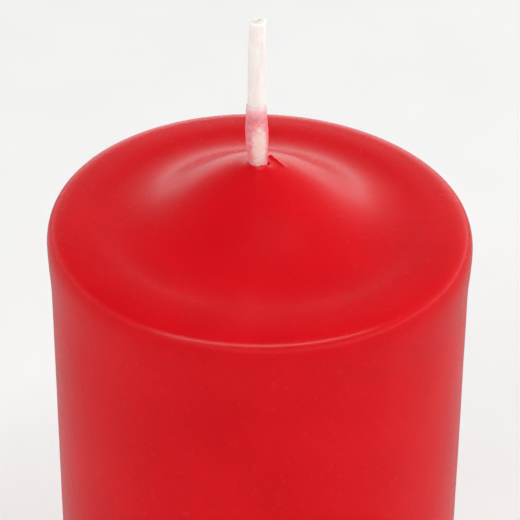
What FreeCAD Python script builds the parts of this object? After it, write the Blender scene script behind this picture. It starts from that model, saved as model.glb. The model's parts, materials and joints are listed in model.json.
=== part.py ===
import FreeCAD, Part
import math
import os

# Pillar candle: a pressed wax core in a dipped colour coat, with a plaited cotton wick that is primed
# with white wax, stained by the dip at its foot, and anchored in a steel sustainer at the base.
# Millimetres, +Z up. The origin is the centre of the base, on the surface that the candle stands on.

os.makedirs("parts", exist_ok=True)

# Wax body
BODY_RADIUS = 30.0           # the straight wall
WAX_HEIGHT = 120.0           # base to the point of the mound, where the wick comes out
COAT_THICKNESS = 1.5
RIM_SWELL = 0.33             # how far the top rim stands out past the wall
RIM_SWELL_HEIGHT = 8.0       # the height over which the wall swells to the rim
RIM_ROUND = 3.6              # radius of the rounded top edge
BASE_ROUND = 1.2             # radius of the rounded bottom edge of the coat

# Mound on the top face: a cone whose foot runs into the flat ring around it
FLANK_SLOPE = math.radians(29.0)
MOUND_RADIUS = 21.2          # where the foot meets the ring
FOOT_CURVE = 17.4            # radius of the hollow curve at the foot

# Wick
WICK_RADIUS = 1.2            # outside of the priming wax
WICK_RISE = 22.6             # from the point of the mound to the cut end
PLAIT_BORE = 0.9             # radius of the space for the plait inside the priming wax
STRAND_DIAMETER = 0.58
PLAIT_HALF_WIDTH = 0.58      # how far a strand's centre swings to each side
PLAIT_HALF_DEPTH = 0.345     # how far it swings to front and back as strands cross
PLAIT_PITCH = 7.2            # one full turn of the plait
STRANDS = 3
POINTS_PER_PITCH = 12

# Stained film at the foot of the wick
COLLAR_RISE = 9.7            # from the point of the mound to the film's upper edge
COLLAR_FOOT_RADIUS = 1.34
COLLAR_RADIUS = 1.6          # above the belly
COLLAR_BELLY_RISE = 3.5      # from the foot to where the film is full
COLLAR_LIP = 0.5             # height of the film's rounded upper edge

# Sustainer: a stamped disc with a neck that grips the wick
DISC_RADIUS = 10.0
DISC_THICKNESS = 0.3
DISC_RECESS = 0.8            # depth of the recess in the base, so the disc clears the table
RECESS_GAP = 0.2             # room around the disc and the neck
NECK_WALL = 0.35
NECK_HEIGHT = 6.2

# Heights and radii that follow
RIM_RADIUS = BODY_RADIUS + RIM_SWELL
FOOT_RUN = FOOT_CURVE * math.sin(FLANK_SLOPE)
MOUND_RISE = FOOT_CURVE * (1 - math.cos(FLANK_SLOPE)) + (MOUND_RADIUS - FOOT_RUN) * math.tan(FLANK_SLOPE)
SHOULDER_Z = WAX_HEIGHT - MOUND_RISE
WICK_TOP = WAX_HEIGHT + WICK_RISE
NECK_RADIUS = WICK_RADIUS + NECK_WALL


def point(radius, z):
    return FreeCAD.Vector(radius, 0, z)


def line(start, end):
    return Part.LineSegment(start, end).toShape()


def arc(centre_radius, centre_z, curve, start, end):
    """Arc in the XZ plane from angle start to angle end, in radians from the outward direction."""
    def at(angle):
        return point(centre_radius + curve * math.cos(angle), centre_z + curve * math.sin(angle))
    return Part.Arc(at(start), at((start + end) / 2), at(end)).toShape()


def far_end(edge):
    return edge.valueAt(edge.LastParameter)


def near_end(edge):
    return edge.valueAt(edge.FirstParameter)


def tube(outer_radius, inner_radius, bottom, top):
    outer = Part.makeCylinder(outer_radius, top - bottom, point(0, bottom))
    return outer.cut(Part.makeCylinder(inner_radius, top - bottom, point(0, bottom)))


def revolve(edges):
    """Closes a chain of edges along the axis and turns it into a solid."""
    start, end = near_end(edges[0]), far_end(edges[-1])
    face = Part.Face(Part.Wire(edges + [line(end, start)]))
    return face.revolve(FreeCAD.Vector(0, 0, 0), FreeCAD.Vector(0, 0, 1), 360)


def mound(inset):
    """Edges from the flat ring up the hollow foot and the straight flank to the axis."""
    quarter = math.pi / 2
    foot = arc(MOUND_RADIUS, SHOULDER_Z + FOOT_CURVE, FOOT_CURVE + inset, -quarter, -quarter - FLANK_SLOPE)
    top_of_foot = far_end(foot)
    tip = point(0, top_of_foot.z + top_of_foot.x * math.tan(FLANK_SLOPE))
    return [foot, line(top_of_foot, tip)]


def rim_and_mound(radius, inset):
    """Edges from the top of the wall over the rounded rim, across the ring and up the mound."""
    round_radius = RIM_ROUND - inset
    rim = arc(radius - round_radius, SHOULDER_Z - RIM_ROUND, round_radius, 0, math.pi / 2)
    rise = mound(inset)
    return [rim, line(far_end(rim), near_end(rise[0]))] + rise


def swell():
    """Two arcs that lead the wall smoothly out to the rim, from the lower to the upper end."""
    turn = 2 * math.atan(RIM_SWELL / RIM_SWELL_HEIGHT)
    curve = RIM_SWELL_HEIGHT / (2 * math.sin(turn))
    top = SHOULDER_Z - RIM_ROUND
    bottom = top - RIM_SWELL_HEIGHT
    lower = arc(BODY_RADIUS + curve, bottom, curve, math.pi, math.pi - turn)
    upper = arc(RIM_RADIUS - curve, top, curve, -turn, 0)
    return [lower, upper]


def whole_candle():
    """The outside of the wax as one blank."""
    base_edge = arc(BODY_RADIUS - BASE_ROUND, BASE_ROUND, BASE_ROUND, -math.pi / 2, 0)
    swelling = swell()
    edges = [line(point(0, 0), near_end(base_edge)), base_edge]
    edges += [line(far_end(base_edge), near_end(swelling[0]))] + swelling
    return revolve(edges + rim_and_mound(RIM_RADIUS, 0))


def core_blank():
    """The outside of the core: the blank without its coat."""
    radius = BODY_RADIUS - COAT_THICKNESS
    top = rim_and_mound(radius, COAT_THICKNESS)
    edges = [line(point(0, 0), point(radius, 0)), line(point(radius, 0), near_end(top[0]))]
    return revolve(edges + top)


def wick_hole():
    return Part.makeCylinder(WICK_RADIUS, WICK_TOP)


def wax_core():
    recess = Part.makeCylinder(DISC_RADIUS + RECESS_GAP, DISC_RECESS)
    neck_hole = Part.makeCylinder(NECK_RADIUS + RECESS_GAP, DISC_RECESS + NECK_HEIGHT + RECESS_GAP)
    return core_blank().cut(recess).cut(neck_hole).cut(wick_hole())


def colour_coat():
    return whole_candle().cut(core_blank()).cut(wick_hole())


def wick_strand(number):
    """One strand of the plait: a wave from side to side, and a wave of half its length from front to back."""
    phase = 2 * math.pi * number / STRANDS
    turn = 2 * math.pi / PLAIT_PITCH

    def centre(z):
        angle = turn * z + phase
        return FreeCAD.Vector(PLAIT_HALF_WIDTH * math.sin(angle), PLAIT_HALF_DEPTH * math.sin(2 * angle), z)

    def direction(z):
        angle = turn * z + phase
        across = PLAIT_HALF_WIDTH * turn * math.cos(angle)
        return FreeCAD.Vector(across, 2 * PLAIT_HALF_DEPTH * turn * math.cos(2 * angle), 1)

    heights = [PLAIT_PITCH * i / POINTS_PER_PITCH for i in range(POINTS_PER_PITCH + 1)]
    curve = Part.BSplineCurve()
    curve.interpolate(
        Points=[centre(z) for z in heights],
        Tangents=[direction(z) for z in heights],
        TangentFlags=[True] * len(heights),
    )
    sweep = Part.BRepOffsetAPI.MakePipeShell(Part.Wire([curve.toShape()]))
    sweep.setFrenetMode(False)
    sweep.add(Part.Wire([Part.makeCircle(STRAND_DIAMETER / 2, centre(0), direction(0))]))
    sweep.build()
    sweep.makeSolid()
    one_pitch = sweep.shape()
    pitches = []
    for number_up in range(math.ceil(WICK_TOP / PLAIT_PITCH) + 1):
        pitches.append(one_pitch.translated(FreeCAD.Vector(0, 0, PLAIT_PITCH * number_up)))
    strand = pitches[0].multiFuse(pitches[1:])
    return strand.common(Part.makeCylinder(PLAIT_BORE, WICK_TOP - DISC_RECESS, point(0, DISC_RECESS)))


def wick_priming_wax():
    return tube(WICK_RADIUS, PLAIT_BORE, DISC_RECESS, WICK_TOP)


def wick_dip_collar():
    """The film of dip wax around the foot of the wick, standing on the flank of the mound."""
    bottom = point(COLLAR_FOOT_RADIUS, WAX_HEIGHT - WICK_RADIUS)
    belly = point(COLLAR_RADIUS, bottom.z + COLLAR_BELLY_RISE)
    top = WAX_HEIGHT + COLLAR_RISE
    shoulder = point(COLLAR_RADIUS, top - COLLAR_LIP)
    lip = point(COLLAR_RADIUS - COLLAR_LIP / 4, top - COLLAR_LIP / 4)
    inner_top, inner_bottom = point(WICK_RADIUS, top), point(WICK_RADIUS, bottom.z)
    edges = [
        line(inner_bottom, bottom),
        line(bottom, belly),
        line(belly, shoulder),
        Part.Arc(shoulder, lip, inner_top).toShape(),
    ]
    return revolve(edges).cut(whole_candle())


def wick_sustainer():
    disc = Part.makeCylinder(DISC_RADIUS, DISC_THICKNESS, point(0, DISC_RECESS - DISC_THICKNESS))
    return disc.fuse(tube(NECK_RADIUS, WICK_RADIUS, DISC_RECESS, DISC_RECESS + NECK_HEIGHT)).removeSplitter()


def export(name, shape):
    solids = shape.Solids
    if len(solids) != 1 or not solids[0].isValid():
        raise ValueError(name + " is not one valid solid")
    solids[0].exportStep("parts/" + name + ".step")
    print(name, round(solids[0].Volume, 2), "mm3")


export("wax_core", wax_core())
export("colour_coat", colour_coat())
for strand_number in range(STRANDS):
    export("wick_strand_" + str(strand_number + 1), wick_strand(strand_number))
export("wick_priming_wax", wick_priming_wax())
export("wick_dip_collar", wick_dip_collar())
export("wick_sustainer", wick_sustainer())
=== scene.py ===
import json
import math

import bpy
from mathutils import Matrix, Quaternion, Vector, noise


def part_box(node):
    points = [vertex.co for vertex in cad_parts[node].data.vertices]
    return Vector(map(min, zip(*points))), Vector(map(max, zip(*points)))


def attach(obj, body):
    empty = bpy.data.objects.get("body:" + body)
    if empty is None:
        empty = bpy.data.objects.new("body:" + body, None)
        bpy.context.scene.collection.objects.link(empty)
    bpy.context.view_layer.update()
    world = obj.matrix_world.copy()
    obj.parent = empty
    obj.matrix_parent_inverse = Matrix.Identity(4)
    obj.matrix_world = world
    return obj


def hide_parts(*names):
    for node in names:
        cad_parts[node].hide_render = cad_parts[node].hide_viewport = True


# A red pillar candle. The wax and the wick are rebuilt as finer meshes in the space of their CAD nodes;
# the core and the sustainer keep their CAD meshes. Everything is in metres in the row frame.

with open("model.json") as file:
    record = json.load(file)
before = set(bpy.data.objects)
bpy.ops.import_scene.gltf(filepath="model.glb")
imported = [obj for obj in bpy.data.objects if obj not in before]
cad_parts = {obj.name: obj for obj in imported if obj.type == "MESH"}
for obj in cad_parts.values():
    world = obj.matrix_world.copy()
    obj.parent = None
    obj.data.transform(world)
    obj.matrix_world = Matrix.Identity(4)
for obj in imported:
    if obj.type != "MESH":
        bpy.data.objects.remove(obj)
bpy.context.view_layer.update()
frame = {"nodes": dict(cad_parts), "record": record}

MM = 0.001
TURN = 2 * math.pi

# Places and sizes read from the frame
coat_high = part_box("colour_coat")[1]
core_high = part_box("wax_core")[1]
wick_low, wick_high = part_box("wick_priming_wax")
collar_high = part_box("wick_dip_collar")[1]
mounts = {mount["name"]: mount for mount in frame["record"]["mounts"]}

RIM_RADIUS = coat_high.x
WALL_RADIUS = mounts["body_wall"]["dims"]["r_mm"] * MM
CORE_RADIUS = core_high.x
COAT_THICKNESS = WALL_RADIUS - CORE_RADIUS
WICK_RADIUS = wick_high.x
WICK_BOTTOM = wick_low.z
WICK_TOP = wick_high.z
COLLAR_RADIUS = collar_high.x
COLLAR_TOP = collar_high.z


def highest(node, beyond):
    """The height of a CAD node further than this from the axis."""
    return max(v.co.z for v in frame["nodes"][node].data.vertices if math.hypot(v.co.x, v.co.y) > beyond)


RING_Z = highest("colour_coat", 0.8 * RIM_RADIUS)
CORE_RING_Z = RING_Z - COAT_THICKNESS

# Shape of the top face: how steeply it falls away from the axis, in degrees, at these radii in mm
TOP_FALL = (
    (0.0, 7.0), (3.0, 16.0), (6.0, 26.0), (9.0, 33.0), (12.0, 34.5),       # the mound's tip and flank
    (14.8, 29.0), (16.2, 22.5), (17.6, 16.0), (21.2, 1.3),                 # its foot
    (22.8, -4.5), (24.3, 0.0), (25.8, 5.0), (27.0, 6.0),                   # the ring, out to the rim
)
VALLEY_RADIUS = 21.2 * MM
RIM_START = TOP_FALL[-1][0] * MM
RIM_DROP = 3.6 * MM
TOP_TILT = 0.0186                  # the top face leans over to the right by this slope
TILT_DEPTH = 14.0 * MM             # and the tilt has died out this far below it
RIM_SWELL_HEIGHT = 8.0 * MM
BASE_ROUND = 1.2 * MM

# Shape of the plait, as in its CAD nodes
PLAIT_PITCH = 7.2 * MM
PLAIT_HALF_WIDTH = 0.58 * MM
PLAIT_HALF_DEPTH = 0.345 * MM
STRAND_RADIUS = 0.29 * MM
STRANDS = 3

SEGMENTS = 320                     # points round the coat


# ---- Small helpers ----------------------------------------------------------------------------------------

def clamp(value, low=0.0, high=1.0):
    return max(low, min(high, value))


def smooth(value):
    """Eases from 0 to 1."""
    value = clamp(value)
    return value * value * (3 - 2 * value)


def angle_apart(a, b):
    return (a - b + math.pi) % TURN - math.pi


def spread(start, end, steps):
    """Values from start towards end, without the end."""
    return [start + (end - start) * i / steps for i in range(steps)]


def wave(point, scale, seed):
    """Smooth noise from about -1 to 1 whose lumps are about scale across."""
    return noise.noise(Vector(point) / scale + Vector((seed, 2.3 * seed, -seed)))


def mesh_object(name, points, faces):
    mesh = bpy.data.meshes.new(name)
    mesh.from_pydata(points, [], faces)
    mesh.validate()
    mesh.shade_smooth()
    piece = bpy.data.objects.new(name, mesh)
    bpy.context.scene.collection.objects.link(piece)
    return piece


def ring_faces(rows, columns, closed_rows=False):
    """Quads between rows of points that each go once round."""
    faces = []
    for row in range(rows if closed_rows else rows - 1):
        upper = (row + 1) % rows
        for column in range(columns):
            beside = (column + 1) % columns
            faces.append((row * columns + column, row * columns + beside,
                          upper * columns + beside, upper * columns + column))
    return faces


# ---- Wick line --------------------------------------------------------------------------------------------

WICK_FOOT_Z = RING_Z + 8.6 * MM


def wick_centre(z):
    """The wick stands a little left of the axis above the wax, with a slight bow."""
    up = (z - WICK_FOOT_Z) / (WICK_TOP - WICK_FOOT_Z)
    if up < 0:
        return Vector((-0.35 * MM * smooth(1 + up * 3), 0, z))
    bow = 4 * up * (1 - up)
    return Vector(((-0.35 - 0.12 * up - 0.25 * bow) * MM, 0, z))


# ---- Coat -------------------------------------------------------------------------------------------------

def top_fall(radius):
    """Angle at which the top face falls away from the axis."""
    for (near, fall_near), (far, fall_far) in zip(TOP_FALL, TOP_FALL[1:]):
        if radius <= far * MM:
            share = (radius / MM - near) / (far - near)
            return math.radians(fall_near + (fall_far - fall_near) * share)
    return math.radians(TOP_FALL[-1][1])


def top_height(radius, steps=80):
    """Height of the top face above its valley."""
    step = (VALLEY_RADIUS - radius) / steps
    return sum(math.tan(top_fall(radius + step * (i + 0.5))) for i in range(steps)) * step


def rim_outline(steps=40):
    """From the ring over the rim to the wall. Much of the turn is in a soft corner halfway."""
    corner_share, corner_width = 0.45, 0.12
    start_tilt = top_fall(RIM_START)
    points, radius, z = [], 0.0, 0.0
    for i in range(steps + 1):
        points.append((radius, z))
        s = (i + 0.5) / steps
        corner = 0.5 + 0.5 * math.tanh((s - 0.5) / corner_width)
        tilt = start_tilt + (math.pi / 2 - start_tilt) * ((1 - corner_share) * s + corner_share * corner)
        radius += math.cos(tilt) / steps
        z -= math.sin(tilt) / steps
    scale = (RIM_RADIUS - RIM_START) / points[-1][0]
    return [(RIM_START + r * scale, RING_Z + top_height(RIM_START) + h * scale) for r, h in points]


def wall_radius(z):
    """The wall swells a little towards the rim."""
    below_rim = RING_Z - RIM_DROP - z
    return WALL_RADIUS + (RIM_RADIUS - WALL_RADIUS) * smooth(1 - below_rim / RIM_SWELL_HEIGHT)


def outer_outline():
    """(radius, z) from the wick hole to the underside of the coat."""
    near_wick = spread(WICK_RADIUS, 4 * MM, 34)
    mound = spread(4 * MM, RIM_START, 56)
    outline = [(r, RING_Z + top_height(r)) for r in near_wick + mound]
    rim = rim_outline()
    outline += rim
    wall_top = rim[-1][1]
    outline += [(wall_radius(z), z) for z in spread(wall_top, wall_top - RIM_SWELL_HEIGHT, 12)[1:]]
    outline += [(WALL_RADIUS, z) for z in spread(wall_top - RIM_SWELL_HEIGHT, BASE_ROUND, 70)]
    for i in range(9):
        turn = math.pi / 2 * i / 8
        outline.append((WALL_RADIUS - BASE_ROUND * (1 - math.cos(turn)), BASE_ROUND * (1 - math.sin(turn))))
    return outline


def inner_outline():
    """(radius, z) from the underside up the inside of the coat and back to the wick hole."""
    rim_round = RIM_DROP - COAT_THICKNESS
    outline = [(CORE_RADIUS, z) for z in spread(0, CORE_RING_Z - rim_round, 6)]
    for i in range(9):
        turn = math.pi / 2 * i / 8
        outline.append((CORE_RADIUS - rim_round * (1 - math.cos(turn)),
                        CORE_RING_Z - rim_round * (1 - math.sin(turn))))
    mound = spread(VALLEY_RADIUS, WICK_RADIUS, 30) + [WICK_RADIUS]
    outline += [(r, RING_Z + top_height(r) - COAT_THICKNESS / math.cos(top_fall(r))) for r in mound]
    return outline


# Beside the wick a flap of wax stands up where it tore: its two ends, its width, and its height at each end
LIP_START, LIP_END = Vector((1.4, 2.6, 0)) * MM, Vector((3.1, 0.6, 0)) * MM
LIP_WIDTH = 0.34 * MM
LIP_RISE = (0.42 * MM, 0.25 * MM)

# Wax is drawn up the wick this high, dies out over this distance, and is torn away round this direction
DRAWN_RISE = 0.8 * MM
DRAWN_REACH = 0.55 * MM
TORN_MIDDLE = math.radians(12)
TORN_HALF_WIDTH = math.radians(75)


def lip_rise(point):
    """Height of the torn flap at a point of the mound."""
    along = LIP_END - LIP_START
    flat = Vector((point.x, point.y, 0)) - LIP_START
    share = clamp(flat.dot(along) / along.length_squared)
    distance = (flat - along * share).length
    if distance > 3 * LIP_WIDTH:
        return 0.0
    ragged = 1 + 0.35 * wave(point, 0.5 * MM, 5.0)
    ridge = LIP_RISE[0] + (LIP_RISE[1] - LIP_RISE[0]) * share
    return ridge * ragged * math.exp(-(distance / LIP_WIDTH) ** 2)


def drawn_wax(point, angle):
    """Wax drawn up the wick, except where it tore away on the right."""
    from_wick = math.hypot(point.x - wick_centre(WICK_FOOT_Z).x, point.y) - WICK_RADIUS
    torn = smooth(1 - abs(angle_apart(angle, TORN_MIDDLE)) / TORN_HALF_WIDTH)
    return DRAWN_RISE * math.exp(-max(from_wick, 0.0) / DRAWN_REACH) * (1 - torn)


def coat_shape(radius, z, angle, outer):
    """A point of the coat, with the unevenness of dipped wax on its outer side."""
    across, along = math.cos(angle), math.sin(angle)
    point = Vector((radius * across, radius * along, z))
    if outer:
        on_wall = smooth((RING_Z - z) / RIM_DROP)
        sag = wave(point, 16 * MM, 3.1) * 0.05 * MM + wave(point, 5 * MM, 8.7) * 0.016 * MM
        if z > BASE_ROUND:
            point += Vector((across, along, 0)) * sag * on_wall
        point.z += sag * 0.7 * (1 - on_wall)
        if radius < 6 * MM and z > RING_Z:
            point.z += drawn_wax(point, angle) + lip_rise(point)
    point.z -= TOP_TILT * radius * across * smooth(1 - (RING_Z - z) / TILT_DEPTH)
    return point


def make_coat():
    outer, inner = outer_outline(), inner_outline()
    points = []
    for index, (radius, z) in enumerate(outer + inner):
        for step in range(SEGMENTS):
            points.append(coat_shape(radius, z, TURN * step / SEGMENTS, index < len(outer)))
    rows = len(outer) + len(inner)
    return mesh_object("candle_coat", points, ring_faces(rows, SEGMENTS, closed_rows=True))


# ---- Wick -------------------------------------------------------------------------------------------------

def strand_offset(number, z):
    angle = TURN * (z / PLAIT_PITCH + number / STRANDS)
    return Vector((PLAIT_HALF_WIDTH * math.sin(angle), PLAIT_HALF_DEPTH * math.sin(2 * angle), 0))


def plait_reach(angle, z):
    """How far the plait reaches from its middle in one direction."""
    direction = Vector((math.cos(angle), math.sin(angle), 0))
    return max(strand_offset(n, z).dot(direction) for n in range(STRANDS)) + STRAND_RADIUS


def make_priming_wax():
    """Wax that follows the plait under it a little, rounded off at the cut end."""
    columns, rows = 48, 260
    bottom, cut = WICK_BOTTOM, WICK_TOP - 0.25 * MM
    points = []
    outline = [(0.02, bottom)] + [(1.0, bottom + (cut - bottom) * i / rows) for i in range(rows + 1)]
    outline += [(0.94, cut + 0.10 * MM), (0.8, cut + 0.12 * MM), (0.45, cut + 0.02 * MM), (0.02, cut)]
    for share, z in outline:
        for step in range(columns):
            angle = TURN * step / columns
            reach = plait_reach(angle, z) / (PLAIT_HALF_WIDTH + STRAND_RADIUS)
            radius = WICK_RADIUS * (0.90 + 0.10 * reach) * share
            radius += 0.03 * MM * wave((math.cos(angle) * 2 * MM, math.sin(angle) * 2 * MM, z), 1.6 * MM, 4.0)
            point = wick_centre(z) + Vector((math.cos(angle), math.sin(angle), 0)) * max(radius, 0.01 * MM)
            points.append(point)
    return capped("wick_wax", points, len(outline), columns)


def capped(name, points, rows, columns):
    """Closes both ends of a run of rings with a fan."""
    faces = ring_faces(rows, columns)
    for first, flip in ((0, True), ((rows - 1) * columns, False)):
        middle = sum((Vector(points[first + i]) for i in range(columns)), Vector()) / columns
        points.append(middle)
        for i in range(columns):
            edge = (first + i, first + (i + 1) % columns)
            faces.append((edge[1], edge[0], len(points) - 1) if flip else (edge[0], edge[1], len(points) - 1))
    return mesh_object(name, points, faces)


def make_strand(number):
    """One strand: a bundle of twisted yarns, seen as ridges that wind round it, cut off flat at the top."""
    columns, per_pitch, yarns = 24, 44, 6
    rows = int((WICK_TOP - WICK_BOTTOM) / PLAIT_PITCH * per_pitch)
    points = []
    for row in range(rows + 1):
        z = WICK_BOTTOM + (WICK_TOP - WICK_BOTTOM) * row / rows
        middle = wick_centre(z) + strand_offset(number, z)
        ahead = wick_centre(z + 0.01 * MM) + strand_offset(number, z + 0.01 * MM) - middle
        side = ahead.cross(Vector((0, 1, 0))).normalized()
        front = side.cross(ahead).normalized()
        for step in range(columns):
            angle = TURN * step / columns
            ridge = 1 - 0.09 * (0.5 - 0.5 * math.cos(yarns * (angle + TURN * z / (2.4 * PLAIT_PITCH))))
            reach = STRAND_RADIUS * ridge
            offset = side * math.cos(angle) * reach + front * math.sin(angle) * reach
            point = middle + offset
            point.z = min(point.z, WICK_TOP)
            points.append(point)
    return capped("wick_yarn_" + str(number + 1), points, rows + 1, columns)


def make_collar():
    """The stained film: it starts in the wax drawn up the wick, bellies out, and ends in an uneven edge."""
    columns, rows = 72, 90
    bottom, top = WICK_FOOT_Z - 0.4 * MM, COLLAR_TOP
    full = COLLAR_RADIUS - WICK_RADIUS
    outer, inner = [], []
    for row in range(rows + 1):
        up = row / rows
        for step in range(columns):
            angle = TURN * step / columns
            direction = Vector((math.cos(angle), math.sin(angle), 0))
            edge = top - 0.9 * MM * clamp(0.5 + 0.7 * wave(direction * 2 * MM, 1.5 * MM, 2.0))
            z = bottom + (edge - bottom) * up
            film = full * (0.3 + 0.7 * smooth((z - WICK_FOOT_Z - 0.5 * MM) / (4.2 * MM)))
            film *= 1 - 0.35 * smooth((up - 0.55) / 0.3)
            film *= math.sqrt(1 - clamp((up - 0.93) / 0.07) ** 2)
            film += 0.05 * MM * wave(direction * 2 * MM + Vector((0, 0, z)), 1.1 * MM, 6.0) * (1 - up ** 8)
            outer.append(wick_centre(z) + direction * (WICK_RADIUS + max(film, 0.0)))
            inner.append(wick_centre(z) + direction * (WICK_RADIUS - 0.06 * MM))
    inner_rows = []
    for row in range(rows, -1, -9):
        inner_rows += inner[row * columns:(row + 1) * columns]
    points = outer + inner_rows
    return mesh_object("wick_collar", points, ring_faces(len(points) // columns, columns, closed_rows=True))


# ---- Materials --------------------------------------------------------------------------------------------

def maths_node(tree, operation, a, b):
    """A maths node on two numbers or outputs."""
    node = tree.nodes.new("ShaderNodeMath")
    node.operation = operation
    for socket, value in zip(node.inputs, (a, b)):
        if isinstance(value, (int, float)):
            socket.default_value = value
        else:
            tree.links.new(value, socket)
    return node.outputs[0]


class Nodes:
    """Short calls for building one material's node tree."""

    def __init__(self, name):
        self.material = bpy.data.materials.new(name)
        self.material.use_nodes = True
        self.tree = self.material.node_tree
        self.shader = next(n for n in self.tree.nodes if n.type == "BSDF_PRINCIPLED")
        self.place = self.add("ShaderNodeTexCoord").outputs["Object"]

    def add(self, kind, **settings):
        node = self.tree.nodes.new(kind)
        for key, value in settings.items():
            setattr(node, key, value)
        return node

    def link(self, source, target):
        self.tree.links.new(source, target)

    def noise(self, lump, detail=3.0, roughness=0.55, stretch=(1, 1, 1)):
        """Noise whose lumps are about this many metres across."""
        mapping = self.add("ShaderNodeMapping")
        mapping.inputs["Scale"].default_value = stretch
        self.link(self.place, mapping.inputs["Vector"])
        node = self.add("ShaderNodeTexNoise")
        node.inputs["Scale"].default_value = 1 / lump
        node.inputs["Detail"].default_value = detail
        node.inputs["Roughness"].default_value = roughness
        self.link(mapping.outputs[0], node.inputs["Vector"])
        return node.outputs["Fac"]

    def ramp(self, value, start, end, low=0.0, high=1.0):
        """Maps start..end to low..high, held at both ends."""
        node = self.add("ShaderNodeMapRange")
        node.inputs["From Min"].default_value = start
        node.inputs["From Max"].default_value = end
        node.inputs["To Min"].default_value = low
        node.inputs["To Max"].default_value = high
        self.link(value, node.inputs["Value"])
        return node.outputs[0]

    def mix(self, factor, a, b):
        """Colour a where factor is 0, b where it is 1. Each is a colour or an output."""
        node = self.add("ShaderNodeMix", data_type="RGBA")
        if isinstance(factor, float):
            node.inputs[0].default_value = factor
        else:
            self.link(factor, node.inputs[0])
        for socket, value in ((node.inputs[6], a), (node.inputs[7], b)):
            if isinstance(value, tuple):
                socket.default_value = (*value, 1)
            else:
                self.link(value, socket)
        return node.outputs[2]

    def maths(self, operation, a, b):
        return maths_node(self.tree, operation, a, b)

    def relief(self, height, depth, before=None):
        """Bump of this depth in metres."""
        node = self.add("ShaderNodeBump")
        node.inputs["Strength"].default_value = 1.0
        node.inputs["Distance"].default_value = depth
        self.link(height, node.inputs["Height"])
        if before is not None:
            self.link(before, node.inputs["Normal"])
        return node.outputs[0]

    def set(self, **values):
        """Sets or links the shader's inputs; names use _ for a space."""
        for key, value in values.items():
            socket = self.shader.inputs[key.replace("_", " ")]
            if isinstance(value, bpy.types.NodeSocket):
                self.link(value, socket)
            elif isinstance(value, tuple) and len(value) == 3 and socket.type == "RGBA":
                socket.default_value = (*value, 1)
            else:
                socket.default_value = value
        return self.material


def coat_wax():
    n = Nodes("coat_wax")
    mottle = n.ramp(n.noise(1.6 * MM, 5.0, 0.65), 0.35, 0.65)
    cloud = n.ramp(n.noise(14 * MM, 2.0), 0.35, 0.65)
    body = n.mix(cloud, (0.61, 0.0030, 0.0080), (0.66, 0.0042, 0.0100))
    body = n.mix(n.maths("MULTIPLY", mottle, 0.25), body, (0.54, 0.0020, 0.0060))
    rough = n.ramp(n.noise(0.8 * MM, 4.0, 0.7), 0.3, 0.7, 0.21, 0.29)
    normal = n.relief(n.noise(0.45 * MM, 4.0, 0.7), 0.010 * MM)
    normal = n.relief(n.noise(2.2 * MM, 3.0, 0.6), 0.025 * MM, normal)
    return n.set(
        Base_Color=body, Roughness=rough, Normal=normal, IOR=1.25, Subsurface_Weight=0.5,
        Subsurface_Radius=(1.0, 0.12, 0.08), Subsurface_Scale=0.8 * MM,
    )


def core_wax():
    """Pressed wax: pale grains pushed together."""
    n = Nodes("core_wax")
    grains = n.add("ShaderNodeTexVoronoi", feature="DISTANCE_TO_EDGE")
    grains.inputs["Scale"].default_value = 1 / (1.1 * MM)
    n.link(n.place, grains.inputs["Vector"])
    joint = n.ramp(grains.outputs["Distance"], 0.0, 0.12)
    tone = n.mix(n.ramp(n.noise(2.5 * MM), 0.35, 0.65), (0.86, 0.82, 0.72), (0.93, 0.90, 0.82))
    colour = n.mix(joint, (0.76, 0.71, 0.60), tone)
    return n.set(
        Base_Color=colour, Roughness=n.ramp(n.noise(0.7 * MM), 0.3, 0.7, 0.5, 0.65),
        Normal=n.relief(joint, 0.05 * MM), IOR=1.43,
    )


def priming_wax():
    n = Nodes("priming_wax")
    streak = n.ramp(n.noise(0.7 * MM, 4.0, 0.6, stretch=(1, 1, 0.35)), 0.35, 0.65)
    colour = n.mix(streak, (0.86, 0.82, 0.77), (0.93, 0.91, 0.88))
    return n.set(
        Base_Color=colour, Roughness=n.ramp(n.noise(0.4 * MM), 0.3, 0.7, 0.35, 0.5),
        Normal=n.relief(n.noise(0.25 * MM, 3.0), 0.015 * MM), IOR=1.43,
        Subsurface_Weight=0.7, Subsurface_Radius=(1.0, 0.85, 0.7), Subsurface_Scale=0.6 * MM,
    )


def wick_cotton():
    n = Nodes("wick_cotton")
    fibre = n.noise(0.09 * MM, 3.0, 0.6, stretch=(1, 1, 0.25))
    colour = n.mix(n.ramp(fibre, 0.35, 0.65), (0.70, 0.66, 0.57), (0.90, 0.88, 0.82))
    return n.set(
        Base_Color=colour, Roughness=0.85, Normal=n.relief(fibre, 0.03 * MM), Sheen_Weight=0.3,
    )


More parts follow.
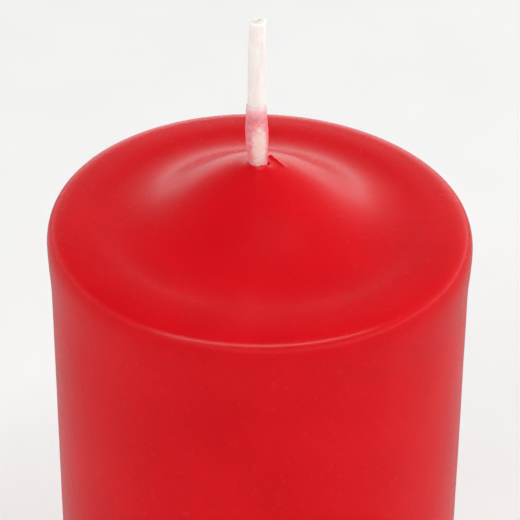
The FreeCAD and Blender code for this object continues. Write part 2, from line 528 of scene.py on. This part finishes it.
def stained_wax():
    """Pink film that pales towards its upper edge, worn to the pale wick over an oval low on the front."""
    n = Nodes("stained_wax")
    offset = n.add("ShaderNodeVectorMath", operation="SUBTRACT")
    n.link(n.place, offset.inputs[0])
    offset.inputs[1].default_value = (-0.2 * MM, -1.3 * MM, RING_Z + 12.6 * MM)
    squash = n.add("ShaderNodeVectorMath", operation="MULTIPLY")
    n.link(offset.outputs[0], squash.inputs[0])
    squash.inputs[1].default_value = (1 / (1.25 * MM), 1 / (1.2 * MM), 1 / (3.6 * MM))
    length = n.add("ShaderNodeVectorMath", operation="LENGTH")
    n.link(squash.outputs[0], length.inputs[0])
    ragged = n.ramp(n.noise(0.6 * MM, 4.0, 0.65), 0.3, 0.7, -0.25, 0.25)
    pale = n.ramp(n.maths("ADD", length.outputs["Value"], ragged), 1.1, 0.6)
    speckle = n.ramp(n.noise(0.35 * MM, 3.0, 0.7), 0.4, 0.7)
    pink = n.mix(n.ramp(n.noise(0.8 * MM, 3.0), 0.35, 0.65), (0.80, 0.20, 0.24), (0.88, 0.34, 0.38))
    split = n.add("ShaderNodeSeparateXYZ")
    n.link(n.place, split.inputs[0])
    edge = n.ramp(split.outputs["Z"], COLLAR_TOP - 2.2 * MM, COLLAR_TOP - 0.6 * MM, 0.0, 0.8)
    pink = n.mix(edge, pink, (0.94, 0.66, 0.66))
    cream = n.mix(speckle, (0.93, 0.76, 0.70), (0.80, 0.63, 0.55))
    return n.set(
        Base_Color=n.mix(pale, pink, cream), Roughness=n.ramp(speckle, 0, 1, 0.35, 0.5),
        Normal=n.relief(n.noise(0.3 * MM, 3.0), 0.02 * MM), IOR=1.43,
        Subsurface_Weight=0.5, Subsurface_Radius=(1.0, 0.4, 0.35), Subsurface_Scale=0.4 * MM,
    )


def sustainer_steel():
    n = Nodes("sustainer_steel")
    scratch = n.noise(0.3 * MM, 4.0, 0.7, stretch=(1, 6, 1))
    return n.set(
        Base_Color=n.mix(n.ramp(scratch, 0.3, 0.7), (0.52, 0.52, 0.53), (0.66, 0.66, 0.67)), Metallic=1.0,
        Roughness=n.ramp(scratch, 0.3, 0.7, 0.28, 0.45), Normal=n.relief(scratch, 0.01 * MM),
    )


def floor_paper():
    n = Nodes("floor_paper")
    tone = n.ramp(n.noise(30 * MM, 2.0), 0.3, 0.7)
    return n.set(
        Base_Color=n.mix(tone, (0.90, 0.90, 0.895), (0.92, 0.92, 0.915)), Roughness=0.9,
        Normal=n.relief(n.noise(0.8 * MM), 0.01 * MM), Specular_IOR_Level=0.2,
    )


def dress(piece, material):
    piece.data.materials.clear()
    piece.data.materials.append(material)


# ---- Pieces -----------------------------------------------------------------------------------------------

coat = make_coat()
dress(coat, coat_wax())
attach(coat, "root")
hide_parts("colour_coat")

wax = make_priming_wax()
dress(wax, priming_wax())
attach(wax, "root")
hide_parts("wick_priming_wax")

cotton = wick_cotton()
for strand in range(STRANDS):
    yarn = make_strand(strand)
    dress(yarn, cotton)
    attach(yarn, "root")
    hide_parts("wick_strand_" + str(strand + 1))

collar = make_collar()
dress(collar, stained_wax())
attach(collar, "root")
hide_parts("wick_dip_collar")

dress(frame["nodes"]["wax_core"], core_wax())
dress(frame["nodes"]["wick_sustainer"], sustainer_steel())


# ---- Studio -----------------------------------------------------------------------------------------------

HORIZON_LIGHT = 2.1                # brightness of the surround at the horizon
HORIZON_FADE = 0.31                # how quickly it dims upwards
SIDE_SHARE = 0.26                  # how much brighter it is on the right and dimmer on the left
UNDER_LIGHT = 0.45                 # brightness below the horizon, behind the candle
UNDER_DIMMING = 0.9                # and how much it dims towards the front
TABLE_LIGHT = 10.0                 # a brighter patch below the horizon, straight behind the candle
TABLE_EDGE = 0.9                   # which starts this far back
LIGHT_DISTANCE = 1.0
STRIP_SLANT = 25                   # degrees

CAMERA_ELEVATION = math.radians(33.60)
CAMERA_DISTANCE = 12.18 * RIM_RADIUS
CAMERA_DROP = -0.0158
CAMERA_ROLL = 0.0067


def make_floor():
    """A wide pale disc, just under the base."""
    columns, radii, z = 96, (0.02, 0.05, 0.1, 0.2, 0.5, 1.2, 4.0), -0.05 * MM
    points = [(r * math.cos(TURN * i / columns), r * math.sin(TURN * i / columns), z)
              for r in radii for i in range(columns)]
    faces = ring_faces(len(radii), columns) + [tuple(range(columns - 1, -1, -1))]
    return mesh_object("floor", points, faces)


def area_light(name, azimuth, elevation, size, power, slant=0):
    """A soft light that faces the top of the candle and isn't seen by the camera.

    Angles are in degrees. Azimuth 0 is in front and 90 is on the right.
    """
    a, e = math.radians(azimuth), math.radians(elevation)
    away = Vector((math.sin(a) * math.cos(e), -math.cos(a) * math.cos(e), math.sin(e)))
    data = bpy.data.lights.new(name, "AREA")
    data.shape = "RECTANGLE"
    data.size, data.size_y = size
    data.energy = power
    light = bpy.data.objects.new(name, data)
    light.location = Vector((0, 0, RING_Z)) + away * LIGHT_DISTANCE
    light.rotation_mode = "QUATERNION"
    light.rotation_quaternion = away.to_track_quat("Z", "Y") @ Quaternion((0, 0, 1), math.radians(slant))
    bpy.context.scene.collection.objects.link(light)
    light.visible_camera = False
    return light


def make_world():
    """Pale surround: bright at the horizon, dim overhead, and dimmer again below the horizon."""
    world = bpy.data.worlds.new("studio")
    world.use_nodes = True
    world.cycles.sampling_method = "NONE"
    tree = world.node_tree

    def maths(operation, a, b=0.0):
        return maths_node(tree, operation, a, b)

    background = next(n for n in tree.nodes if n.type == "BACKGROUND")
    place = tree.nodes.new("ShaderNodeTexCoord")
    split = tree.nodes.new("ShaderNodeSeparateXYZ")
    tree.links.new(place.outputs["Generated"], split.inputs[0])
    x, y, z = split.outputs
    fade = maths("EXPONENT", maths("MULTIPLY", z, -1 / HORIZON_FADE))
    side = maths("ADD", maths("MULTIPLY", x, SIDE_SHARE), 1.0)
    sky = maths("MULTIPLY", maths("MULTIPLY", fade, side), HORIZON_LIGHT)
    below = maths("LESS_THAN", z, 0.0)
    sky = maths("MULTIPLY", sky, maths("SUBTRACT", 1.0, below))
    under = maths("MINIMUM", maths("ADD", maths("MULTIPLY", y, UNDER_DIMMING), 1.0), 1.0)
    under = maths("MULTIPLY", maths("MULTIPLY", under, below), UNDER_LIGHT)
    table = maths("MULTIPLY", maths("MAXIMUM", maths("SUBTRACT", y, TABLE_EDGE), 0.0), TABLE_LIGHT)
    under = maths("ADD", under, maths("MULTIPLY", table, below))
    tree.links.new(maths("ADD", sky, under), background.inputs["Strength"])
    background.inputs["Color"].default_value = (1, 1, 1, 1)
    bpy.context.scene.world = world


def make_camera():
    """Looks down at the top of the candle from in front, through a long lens."""
    target = Vector((0, 0, RING_Z - 0.4 * MM))
    back = Vector((0, -math.cos(CAMERA_ELEVATION), math.sin(CAMERA_ELEVATION)))
    data = bpy.data.cameras.new("camera")
    data.sensor_width, data.lens = 36, 180
    data.clip_start, data.clip_end = 0.01, 20
    camera = bpy.data.objects.new("camera", data)
    aim = back.to_track_quat("Z", "Y").to_matrix().to_4x4()
    aim = aim @ Matrix.Rotation(CAMERA_DROP, 4, "X") @ Matrix.Rotation(CAMERA_ROLL, 4, "Z")
    camera.matrix_world = Matrix.Translation(target + back * CAMERA_DISTANCE) @ aim
    bpy.context.scene.collection.objects.link(camera)
    bpy.context.scene.camera = camera


floor = make_floor()
floor.data.materials.append(floor_paper())
floor.visible_glossy = False
make_world()
area_light("key", -4, 50, (2.2, 0.12), 5.5, slant=STRIP_SLANT)

# A wider strip in the same place shows only in reflections, as the line along the rim
gleam = area_light("gleam", -4, 50, (2.2, 0.36), 11, slant=STRIP_SLANT)
gleam.visible_diffuse = False

# These light the wax without showing in its reflections
for name, azimuth, elevation, size, power in (
    ("overhead", 120, 70, 1.6, 8.5),
    ("left_fill", -105, 12, 0.8, 1.6),
    ("right_fill", 105, 12, 0.8, 1.3),
):
    fill = area_light(name, azimuth, elevation, (size, size), power)
    fill.visible_glossy = False
make_camera()

bpy.context.scene.view_settings.view_transform = "Standard"
